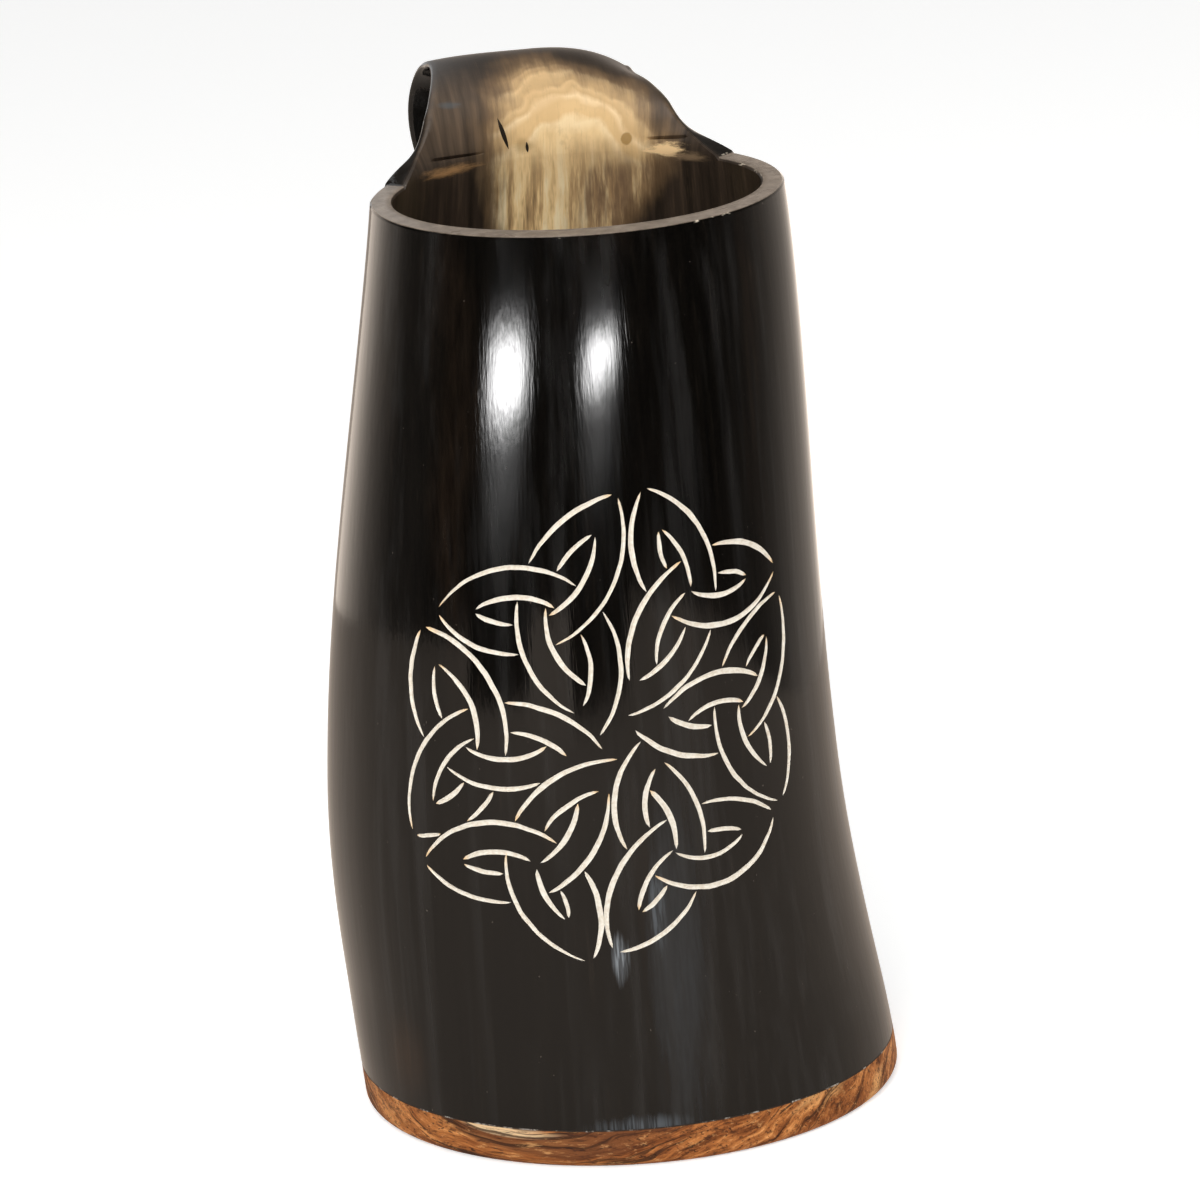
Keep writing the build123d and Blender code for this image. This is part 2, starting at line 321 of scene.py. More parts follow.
def strip_face(u, v, side):
    """Finger face (side 1) or cup face (side -1) of the strip at rows u and columns v.

    Its own section is a parabola across the width. Near the root it is blended with the sector of
    the rim's ellipse that it grows out of, written in the same width and finger-side ways.
    """
    origin, width_way, finger_way = strip_frames(u)
    root_origin, root_width_way, root_finger_way = (way[0] for way in strip_frames(np.zeros(1)))
    place = strip_across(u, v)
    angle = np.pi - root_middle - root_turn * place / root_half_width
    rim_level = np.full_like(place, rim_height)
    outer = wall_point(angle, rim_level)
    inner = wall_point(angle, rim_level, side_wall, front_wall)
    worked = ease(u / thinning_start) * ease((thinning_end - u) / thinning_fade)
    thinned = 1 - edge_thinning * np.abs(v) ** 3 * worked[:, None]
    ring = (outer + inner) / 2 + side * thinned[..., None] * (outer - inner) / 2 - root_origin
    own = ease(u / root_blend)[:, None]
    across = (1 - own) * (ring @ root_width_way) + own * place
    lift = (left_lift * ease(u) * (1 - ease(u - lift_end)))[:, None] * (place < 0)
    spread = place / strip_half_width(u)[:, None].clip(1e-3)
    fall = right_fall * bell(u, fall_place, fall_run)[:, None] * np.clip(v, 0, 1) ** 4
    sag = (strip_sag(u)[:, None] + lift) * spread**2 - fall
    section = side * (strip_thickness(u) - polish_loss)[:, None] / 2 * thinned - sag
    inwards = (1 - own) * (ring @ root_finger_way) + own * section
    sideways = across[..., None] * width_way[:, None]
    return origin[:, None] + sideways + inwards[..., None] * finger_way[:, None], place


# Knot lines
def strand_circle(start, end, third, tip_angle):
    """Centre and radius of the arc from start to end that bulges towards the third tip."""
    middle, half = (start + end) / 2, np.linalg.norm(end - start) / 2
    normal = np.array([start[1] - end[1], end[0] - start[0]]) / (2 * half)
    normal = normal * np.sign(normal @ (third - middle))
    return middle - normal * half / np.tan(tip_angle), half / np.sin(tip_angle)


def unbroken(shown):
    """First and past-the-last index of each unbroken stretch of a mask."""
    return np.flatnonzero(np.diff(np.concatenate([[0], shown.astype(int), [0]]))).reshape(-1, 2)


def length_of(line):
    """Length of a line of points."""
    return np.linalg.norm(np.diff(line, axis=0), axis=1).sum()


def triangle_lines(tips, angles, drawn):
    """Lines of one interlaced triangle.

    Strand k is an arc from tip k to the next that bulges towards the third, drawn by an outer and an
    inner line. It passes over the next strand, and its lines stop where the strand before it passes
    over it. Inner lines end where they meet at a tip, but run on at the hub. No line comes close to
    one that is drawn already.
    """
    turned = [[tips[(k + n) % 3] for n in range(3)] for k in range(3)]
    circles = [strand_circle(*turned[k], angles[k]) for k in range(3)]
    lines = []
    for k in range(3):
        (centre, radius), after, over = circles[k], circles[(k + 1) % 3], circles[(k + 2) % 3]
        ends = np.stack(turned[k][:2]) - centre
        first, last = np.arctan2(ends[:, 1], ends[:, 0])
        sweep = (first - last) % (2 * np.pi)
        share = np.linspace(-line_overrun, 1 + line_overrun, line_samples)
        angle = first - sweep * share
        for inset in (0.0, band_width):
            points = centre + (radius - inset) * np.stack([np.cos(angle), np.sin(angle)], -1)
            to_over = np.linalg.norm(points - over[0], axis=1) - over[1]
            to_after = np.linalg.norm(points - after[0], axis=1) - after[1]
            beneath = (share > 0.5) & (to_over < line_gap) & (to_over > -band_width - line_gap)
            if inset:
                end_depth = hub_depth if k == 1 else band_width
                shown = np.where(share < 0.5, to_over + band_width, to_after + end_depth) < -line_gap
            else:
                start_gap = hub_delay if k == 2 else tip_gap
                end_gap = -hub_overshoot if k == 1 else tip_gap
                run = share * sweep * radius
                shown = (run > start_gap) & (run < sweep * radius - end_gap)
            shown &= ~beneath
            for line in drawn:
                away = np.linalg.norm(points[:, None] - line[None, ::neighbour_step], axis=2)
                shown &= away.min(1) > neighbour_gap
            stretches = [points[a:b] for a, b in unbroken(shown)]
            lines += [line for line in stretches if length_of(line) > shortest_line]
    return lines


def carve_strokes(lines, hand):
    """Each line as one cut: middle points, the way across them, and half widths.

    The half width is (4 t (1 - t)) to a power below one half, so a cut swells and tapers like a
    gouge's, and it wavers a little with the hand that made it.
    """
    strokes = []
    for line in lines:
        length = length_of(line)
        count = max(10, int(length / cut_step))
        t = np.linspace(0, 1, count + 1)
        middle = line[np.round(t * (len(line) - 1)).astype(int)]
        run = np.gradient(middle, axis=0)
        across = np.stack([-run[:, 1], run[:, 0]], -1) / np.linalg.norm(run, axis=1, keepdims=True)
        waver = np.convolve(hand.standard_normal(count + 1), hand_smoothing, "same")
        leant = t ** hand.uniform(*lean_range)
        swell = (4 * leant * (1 - leant)) ** hand.uniform(*fullness_range)
        widest = line_half_width * min(1.0, (length / full_length) ** short_power)
        half = widest * hand.uniform(*width_range) * swell * (1 + width_waver * waver)
        half[[0, -1]] = 0.0
        drift = line_drift * np.convolve(hand.standard_normal(count + 1), hand_smoothing, "same")
        middle = middle + across * drift[:, None]
        strokes.append({"middle": middle, "across": across, "half": half, "t": t})
    return strokes


def groove_depths(points, strokes):
    """Depth of the cuts under flat points: full on a cut's middle line, falling straight to its edge."""
    depth = np.zeros(len(points))
    for stroke in strokes:
        a, b = stroke["middle"][:-1], stroke["middle"][1:]
        run = b - a
        share = np.clip(((points[:, None] - a) * run).sum(2) / (run**2).sum(1), 0, 1)
        away = np.linalg.norm(points[:, None] - a - share[..., None] * run, axis=2)
        half = stroke["half"][:-1] * (1 - share) + stroke["half"][1:] * share
        full = groove_depth * (half / line_half_width) ** depth_power
        cut = full * np.clip(1 - away / np.maximum(half, 1e-6), 0, 1)
        depth = np.maximum(depth, cut.max(1))
    return depth


# Mesh making
def new_object(name, data):
    """A new object in the scene."""
    piece = bpy.data.objects.new(name, data)
    bpy.context.scene.collection.objects.link(piece)
    return piece


def new_mesh(name, points, faces, attributes=()):
    """A mesh of points in metres, with attributes as (name, values for each point)."""
    mesh = bpy.data.meshes.new(name)
    mesh.from_pydata(points.tolist(), [], faces)
    for label, values in attributes:
        kind, field = ("FLOAT", "value") if values.ndim == 1 else ("FLOAT_VECTOR", "vector")
        layer = mesh.attributes.new(label, kind, "POINT")
        layer.data.foreach_set(field, values.astype(np.float32).ravel())
    return mesh


def grid_quads(index, closed=False):
    """Faces between the rows and columns of an array of point numbers, wound columns first."""
    if closed:
        index = np.concatenate([index, index[:, :1]], axis=1)
    corners = [index[:-1, :-1], index[:-1, 1:], index[1:, 1:], index[1:, :-1]]
    return np.stack(corners, -1).reshape(-1, 4)


def make_piece(name, points, faces, attributes, sharp_angle, normals=None):
    """A piece of points in millimetres, with the points that no face uses left out.

    normals gives a unit vector for each corner of each face, or zeros where Blender's own stays.
    """
    used = np.unique(np.concatenate([np.ravel(f) for f in faces]))
    number = np.full(len(points), -1)
    number[used] = np.arange(len(used))
    corners = [corner for block in faces for corner in number[np.asarray(block)].tolist()]
    kept = [(label, values[used]) for label, values in attributes]
    mesh = new_mesh(name, points[used] * metres, corners, kept)
    mesh.shade_smooth()
    mesh.set_sharp_from_angle(angle=np.radians(sharp_angle))
    if normals is not None:
        mesh.normals_split_custom_set(normals.tolist())
    piece = new_object(name, mesh)
    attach(piece, "root")
    return piece


# Columns of the horn: round the rim from the handle's left root past the front to its right root,
# then its root
strip_shares = np.linspace(1, -1, 61)
root_places = strip_across(np.zeros(1), strip_shares)[0]
root_angles = 3 * np.pi - root_middle - root_turn * root_places / root_half_width
rim_columns = 125
rim_angles = np.linspace(root_angles[-1] - 2 * np.pi, root_angles[0], rim_columns)
column_angles = np.concatenate([rim_angles, root_angles[1:-1]]) - 2 * np.pi
wall_heights = np.linspace(horn_bottom, rim_height - rim_chamfer, 66)
bore_heights = np.linspace(rim_height - rim_chamfer, horn_bottom, 60)
root_columns = np.concatenate([[rim_columns - 1], np.arange(rim_columns, len(column_angles)), [0]])
back_half_turn, far_below = np.radians(110), 200.0  # points of the front count as this far down

# Rows of the strip, close together at the slits
strip_rows = np.concatenate([
    [0.006, 0.014, 0.024, 0.036, 0.048, 0.058, 0.066, 0.074, 0.086, 0.10, 0.12],
    np.linspace(0.145, 1, 30),
    np.linspace(1, 2, 25)[1:],
    np.linspace(2, 3, 27)[1:],
    np.linspace(3, 4, 23)[1:],
])


def front_patch(strokes):
    """The block of the front wall that holds the knot, as a triangulation of mm round and mm up.

    The lines' edges and middles are edges of the triangles, so the cuts are sharp. Returns the
    block's rows and columns, its border's numbers in the wall's grid, the flat points, the number in
    the border that each point comes from, and the faces.
    """
    degrees = np.degrees(column_angles)
    rows = np.flatnonzero((wall_heights > block_heights[0]) & (wall_heights < block_heights[1]))
    columns = np.flatnonzero((degrees > block_degrees[0]) & (degrees < block_degrees[1]))
    grid = np.stack(np.meshgrid(column_angles[columns] * front_radius, wall_heights[rows]), -1)
    number = rows[:, None] * len(column_angles) + columns
    border, border_points = (
        np.concatenate([a[0], a[1:, -1], a[-1, -2::-1], a[-2:0:-1, 0]]) for a in (number, grid)
    )
    inner = grid[1:-1, 1:-1].reshape(-1, 2)
    middles = np.concatenate([s["middle"] for s in strokes])
    to_lines = np.linalg.norm(inner[:, None] - middles[None], axis=2).min(1)
    clear = to_lines > 1.5 * line_half_width + 0.5
    count = len(border)
    points = [border_points, inner[clear]]
    edges = [np.stack([np.arange(count), (np.arange(count) + 1) % count], -1)]
    count += clear.sum()
    for stroke in strokes:
        n = len(stroke["t"])
        side = stroke["across"][1:-1] * stroke["half"][1:-1, None]
        points += [stroke["middle"], stroke["middle"][1:-1] + side, stroke["middle"][1:-1] - side]
        core = count + np.arange(n)
        sides = count + n + np.arange(2 * n - 4).reshape(2, -1)
        for chain in (core, *(np.concatenate([core[:1], line, core[-1:]]) for line in sides)):
            edges.append(np.stack([chain[:-1], chain[1:]], -1))
        count += 3 * n - 4
    points, edges = np.concatenate(points).tolist(), np.concatenate(edges).tolist()
    made = delaunay_2d_cdt(points, edges, [], 0, 1e-4, True)
    flat = np.array([tuple(p) for p in made[0]])
    origin = np.array([o[0] if o else count for o in made[3]])
    return rows, columns, border, flat, origin, np.array(made[2])


def horn_piece(strokes):
    """The horn: one closed skin of the tube, its rim and bore, and the handle that grows out of its back.

    Each part is a grid of a formula, and the grids share their border points: outside wall (angle and
    height), rim (angle and share of the wall), bore (angle and height), and strip (place along it and
    place round its section). The front block of the outside wall is the knot's triangulation.
    """
    blocks, lay, sawn_of = [], [], []

    def add(points, across=0.0, along=0.0, cup_side=0.0, sawn=0.0):
        """Keeps a block of points and what the finish needs at each, and returns their numbers."""
        shape = points.shape[:-1]
        start = sum(len(b) for b in blocks)
        blocks.append(points.reshape(-1, 3))
        flat = [np.broadcast_to(a, shape).ravel() for a in (across, along, cup_side)]
        lay.append(np.stack(flat, -1))
        sawn_of.append(np.broadcast_to(sawn, shape).ravel())
        return start + np.arange(len(blocks[-1])).reshape(shape)

    # how far round the back a wall's point lies from the middle of the handle's root, in the strip's
    # millimetres; the front is put out of reach of the pale patch, which fades further down
    back_turn = (np.pi - column_angles + np.pi) % (2 * np.pi) - np.pi
    wall_across = (back_turn - root_middle) / root_turn * root_half_width
    out_of_reach = far_below * (np.abs(back_turn) > back_half_turn)

    angles, heights = np.meshgrid(column_angles, wall_heights)
    heights[-1, rim_columns:] = rim_height
    outside = add(polished_point(angles, heights), wall_across, heights - rim_height - out_of_reach)

    rows, block, border, flat, origin, triangles = front_patch(strokes)
    patch_angles, patch_heights = flat[:, 0] / front_radius, flat[:, 1]
    fresh = add(polished_point(patch_angles, patch_heights, groove_depths(flat, strokes)))
    smooth_places = np.stack([np.append(angles, patch_angles), np.append(heights, patch_heights)])
    from_border = border[np.minimum(origin, len(border) - 1)]
    patch_number = np.where(origin < len(border), from_border, fresh)
    in_groove = groove_depths(flat[triangles].mean(1), strokes) > 1e-4
    triangles = patch_number[triangles]
    wall_quads = grid_quads(outside, closed=True)
    cell_row, cell_column = np.divmod(np.arange(len(wall_quads)), len(column_angles))
    in_rows = (cell_row >= rows[0]) & (cell_row < rows[-1])
    in_columns = (cell_column >= block[0]) & (cell_column < block[-1])
    wall_quads = wall_quads[~(in_rows & in_columns)]

    angles, heights = np.meshgrid(column_angles, bore_heights)
    heights[0, rim_columns:] = rim_height
    bore_points = wall_point(angles, heights, side_wall, front_wall)
    bore = add(bore_points, wall_across, heights - rim_height - out_of_reach, 1.0)

    shares = np.linspace(0.1, 0.9, 5)
    top = np.full_like(rim_angles, rim_height)
    rim_outer = wall_point(rim_angles, top)
    rim_inner = wall_point(rim_angles, top, side_wall, front_wall)
    rim_points = rim_outer + (rim_inner - rim_outer) * shares[:, None, None]
    rim = add(rim_points, wall_across[:rim_columns], 0.0, shares[:, None], 1.0)
    rim_quads = grid_quads(np.concatenate([outside[-1:, :rim_columns], rim, bore[:1, :rim_columns]]))
    bottom_quads = grid_quads(np.concatenate([bore[-1:], outside[:1]]), closed=True)

    u, v = strip_rows, strip_shares
    finger, finger_across = strip_face(np.append(0.0, u), v, 1)
    cup, cup_across = strip_face(np.append(0.0, u), v, -1)
    ridge = cup[:, len(v) // 2]
    along = np.cumsum(np.linalg.norm(np.diff(ridge, axis=0), axis=1))[:, None]
    finger, finger_across, cup, cup_across = finger[1:], finger_across[1:], cup[1:], cup_across[1:]
    # the two slits in the fold, and the foot filed clear of the wall
    open_left, open_right = (
        ease((cup_across - begin) / fade_in) * ease((end - cup_across) / fade_out)
        for (begin, fade_in), (end, fade_out) in slit_spans
    )
    cut = slit_depth * bell(u, slit_place, slit_run)[:, None] * np.maximum(open_left, open_right)
    cup = cup + cut[..., None] * np.array([-np.sin(handle_azimuth), np.cos(handle_azimuth), -0.5])
    x, y, z = finger.transpose(2, 0, 1)
    beside = np.clip((x - bow(z)) / half_width(z), -1, 1)
    wall_back = half_depth(z) * np.sqrt(1 - beside**2) + handle_glue_gap
    finger[..., 1] = np.where(u[:, None] > filed_from, np.maximum(y, wall_back), y)

    turn = np.radians(90 - 180 * (np.arange(1, 6) / 6))
    swollen = edge_bulge * strip_thickness(u) * ease(u / bulge_start)
    bulge = swollen[:, None, None] * np.cos(turn)[:, None]

    def edge_points(end, sign):
        """Rounded long edge: half an ellipse from the finger face to the cup face."""
        middle, half = (finger[:, end] + cup[:, end]) / 2, (finger[:, end] - cup[:, end]) / 2
        out = sign * strip_frames(u)[1]
        return middle[:, None] + half[:, None] * np.sin(turn)[:, None] + bulge * out[:, None]

    finger_at = add(finger, finger_across, along)
    left_at = add(edge_points(-1, -1), cup_across[:, -1:], along, shares)
    cup_at = add(cup, cup_across, along, 1.0)
    right_at = add(edge_points(0, 1), cup_across[:, :1], along, shares)
    root_loop = np.concatenate([
        outside[-1, root_columns], rim[:, 0], bore[0, root_columns[::-1]], rim[::-1, -1],
    ])
    loops = np.concatenate([finger_at, left_at, cup_at[:, ::-1], right_at[:, ::-1]], axis=1)
    strip_quads = grid_quads(np.concatenate([root_loop[None], loops]), closed=True)
    toe_quads = grid_quads(np.stack([finger_at[-1], cup_at[-1]]))
    toe_left = np.concatenate([finger_at[-1, -1:], left_at[-1], cup_at[-1, -1:]])[None]
    toe_right = np.concatenate([cup_at[-1, :1], right_at[-1, ::-1], finger_at[-1, :1]])[None]

    smooth_faces = [wall_quads, triangles[~in_groove]]
    other_faces = [triangles[in_groove], rim_quads, grid_quads(bore, closed=True), bottom_quads]
    other_faces += [strip_quads, toe_quads, toe_left, toe_right]
    known = np.concatenate([f.ravel() for f in smooth_faces])
    corner_normals = normal_of(polished_point, *smooth_places[:, known], 0.02)
    normals = np.concatenate([corner_normals, np.zeros((sum(f.size for f in other_faces), 3))])
    attributes = [("lay", np.concatenate(lay)), ("sawn", np.concatenate(sawn_of))]
    faces = smooth_faces + other_faces
    return make_piece("horn", np.concatenate(blocks), faces, attributes, 35.0, normals)


def knot_fill_piece(strokes):
    """Pale filling of the cuts: along each a section of four points, hollow on top, pointed below."""
    points, faces, ends, count = [], [], [], 0
    for stroke in strokes:
        half = np.maximum(stroke["half"], 0.03)
        full = groove_depth * (half / line_half_width) ** depth_power
        sideways = half[:, None] * (1, 0, -1, 0)
        flat = stroke["middle"][:, None] + stroke["across"][:, None] * sideways[..., None]
        depth = full[:, None] * fill_depths
        made = polished_point(flat[..., 0] / front_radius, flat[..., 1], depth)
        points.append(made.reshape(-1, 3))
        ends.append(np.repeat(np.abs(2 * stroke["t"] - 1), 4))
        index = count + np.arange(flat.shape[0] * 4).reshape(-1, 4)
        faces += [grid_quads(index, closed=True), index[:1, ::-1], index[-1:]]
        count += index.size
    attributes = [("stroke_end", np.concatenate(ends))]
    return make_piece("knot_fill", np.concatenate(points), faces, attributes, 50.0)


# Materials
class Nodes:
    """A node tree. Each method adds a node or a few, and returns the output to link on from."""

    def __init__(self, tree):
        self.tree = tree

    def put(self, socket, value):
        """Sets an input: a link from another node's output, a colour or a plain value."""
        if isinstance(value, bpy.types.NodeSocket):
            self.tree.links.new(value, socket)
        elif socket.type == "RGBA":
            socket.default_value = (*value, 1)
        else:
            socket.default_value = value

    def add(self, kind, inputs, output=0, **settings):
        """A node with its settings, and its inputs by name or number."""
        node = self.tree.nodes.new("ShaderNode" + kind)
        for label, value in settings.items():
            setattr(node, label, value)
        for label, value in inputs.items():
            self.put(node.inputs[label], value)
        return node.outputs[output]

    def place(self):
        """Place in the object's own metres."""
        return self.add("TexCoord", {}, "Object")

    def attribute(self, label, output="Fac"):
        """A value that the mesh holds at each point."""
        return self.add("Attribute", {}, output, attribute_name=label)

    def noise(self, vector, scale, detail, roughness, shift=(0, 0, 0), turn=(0, 0, 0)):
        """Noise of about 0.2 to 0.8, with its own scale along each way of the vector."""
        mapping = {"Vector": vector, "Scale": scale, "Location": shift, "Rotation": turn}
        inputs = {"Scale": 1.0, "Detail": detail, "Roughness": roughness, "Distortion": 0.0}
        return self.add("TexNoise", {"Vector": self.add("Mapping", mapping), **inputs}, "Fac")

    def math(self, operation, a, b=0.0, c=0.0):
        """One step of arithmetic."""
        return self.add("Math", {0: a, 1: b, 2: c}, operation=operation)

    def times(self, a, b):
        """Product of two values."""
        return self.math("MULTIPLY", a, b)

    def swayed(self, value, noise, amount):
        """A value moved by a noise: value + amount (noise - 1/2)."""
        return self.math("ADD", value, self.math("MULTIPLY_ADD", noise, amount, -amount / 2))

    def vector(self, operation, a, b=(0, 0, 0), output=0):
        """One step of vector arithmetic."""
        return self.add("VectorMath", {0: a, 1: b}, output, operation=operation)

    def stretch(self, value, low, high, to_low=0.0, to_high=1.0):
        """Smooth step from one value to another as the input goes from low to high."""
        inputs = {"Value": value, "From Min": low, "From Max": high, "To Min": to_low, "To Max": to_high}
        return self.add("MapRange", inputs, interpolation_type="SMOOTHSTEP")

    def ramp(self, value, *stops):
        """Colour from a row of stops, each a value and its colour."""
        out = self.add("ValToRGB", {0: value})
        elements = out.node.color_ramp.elements
        while len(elements) < len(stops):
            elements.new(0.5)
        for element, (position, colour) in zip(elements, stops):
            element.position = position
            element.color = (*colour, 1)
        return out

    def blend(self, share, first, second):
        """Mix of two colours by a share from 0 to 1."""
        return self.add("Mix", {"Factor": share, 6: first, 7: second}, 2, data_type="RGBA")

    def tint(self, colour, other, amount, value, low, high):
        """A colour with up to an amount of another, as a value goes from low to high."""
        return self.blend(self.stretch(value, low, high, 0.0, amount), colour, other)

    def bump(self, height, distance, strength, under=None):
        """Normal of a relief that is a distance in metres high, on top of an earlier one if given."""
        inputs = {"Height": height, "Distance": distance, "Strength": strength}
        if under is not None:
            inputs["Normal"] = under
        return self.add("Bump", inputs)


class Finish(Nodes):
    """The nodes of a material."""

    def __init__(self, name):
        self.material = bpy.data.materials.new(name)
        self.material.use_nodes = True
        super().__init__(self.material.node_tree)

    def surface(self, **inputs):
        """Sets inputs of the surface shader, named with _ for each space."""
        shader = self.tree.nodes["Principled BSDF"]
        for label, value in inputs.items():
            self.put(shader.inputs[label.replace("_", " ")], value)


def spot_mark(f, place, middle, half_size, ragged, amount, soft):
    """1 at a place, falling to 0 round an ellipsoid whose outline a noise makes ragged."""
    offset = f.vector("DIVIDE", f.vector("SUBTRACT", place, middle), half_size)
    away = f.vector("LENGTH", offset, output="Value")
    return f.stretch(f.swayed(away, ragged, amount), *soft)


def line_mark(f, lay, start, end, half_width):
    """1 on a short straight crack between two places on the strip, widest at its middle, else 0."""
    run = np.subtract(end, start)
    offset = f.vector("SUBTRACT", lay, (*start, 1))
    share = f.vector("DOT_PRODUCT", offset, (*(run / (run @ run)), 0), "Value")
    held = f.math("MINIMUM", f.math("MAXIMUM", share, 0.0), 1.0)
    nearest = f.add("VectorMath", {0: (*run, 0), "Scale": held}, operation="SCALE")
    away = f.vector("DISTANCE", offset, nearest, "Value")
    width = f.times(f.times(held, f.math("SUBTRACT", 1.0, held)), 4 * half_width)
    return f.math("LESS_THAN", away, width)


def dark_horn(f, place):
    """Colour of the outside: near black, with upright fibres, brown clouds, grey streaks that are partly
    painted reflection, pale specks, a few painted glints and reflections low on the front, and a brown
    cloud."""
    fibre = f.noise(place, (900, 900, 16), 4.0, 0.6)
    black = f.ramp(fibre, (0.35, (0.0021, 0.0018, 0.0015)), (0.62, (0.0039, 0.0032, 0.0025)),
                   (0.8, (0.012, 0.009, 0.0067)))
    brown = f.ramp(fibre, (0.3, (0.006, 0.0039, 0.0027)), (0.75, (0.019, 0.012, 0.0075)))
    cloud = f.noise(place, (60, 60, 9), 3.0, 0.55)
    colour = f.tint(black, brown, 0.8, cloud, 0.55, 0.78)
    # grey streaks: partly the horn's own grain, partly a painted streaky reflection on the lower wall
    streak = f.noise(place, (190, 190, 4), 4.0, 0.62, (5, 1, 2))
    colour = f.tint(colour, (0.019, 0.018, 0.017), 0.8, streak, 0.45, 0.72)
    specks = f.noise(place, (1500, 1500, 1100), 1.0, 0.5, (4, 2, 9))
    colour = f.tint(colour, (0.18, 0.15, 0.12), 0.5, specks, 0.79, 0.84)
    streaking = f.stretch(f.noise(place, (1900, 1900, 45), 3.0, 0.6, (1, 6, 3)), 0.4, 0.62)
    # painted highlights and reflections, and the brown cloud, each broken into fine streaks by a noise
    for middle, half_size, soft, amount, streaks, mark_colour in painted_glints_and_brown_cloud:
        mark = spot_mark(f, place, middle, half_size, fibre, 1.1, soft)
        showing = f.math("MULTIPLY_ADD", streaking, amount * streaks, amount * (1 - streaks))
        colour = f.blend(f.times(mark, showing), colour, mark_colour)
    return colour


def cup_side_horn(f, lay, along):
    """Colour of the strip's upper face beside its pale patch, which is brown, and of the dark bore."""
    fibre = f.noise(lay, (0.55, 0.03, 0.5), 4.0, 0.6)
    fine = f.noise(lay, (4.5, 0.12, 0.5), 3.0, 0.6, (3, 8, 0))
    cloud = f.noise(lay, (0.09, 0.07, 0.5), 3.0, 0.5, (8, 5, 0))
    strip = f.ramp(fibre, (0.30, (0.036, 0.025, 0.017)), (0.55, (0.078, 0.054, 0.036)),
                   (0.75, (0.135, 0.09, 0.057)))
    bore = f.ramp(fibre, (0.30, (0.013, 0.0095, 0.0067)), (0.6, (0.038, 0.026, 0.018)),
                  (0.8, (0.083, 0.054, 0.033)))
    colour = f.tint(bore, strip, 1.0, along, -1.0, 4.0)
    colour = f.tint(colour, (0.015, 0.011, 0.0083), 0.8, along, 11.0, 25.0)
    colour = f.tint(colour, (0.018, 0.013, 0.011), 0.45, cloud, 0.5, 0.7)
    return f.tint(colour, (0.128, 0.083, 0.048), 0.3, fine, 0.56, 0.76)


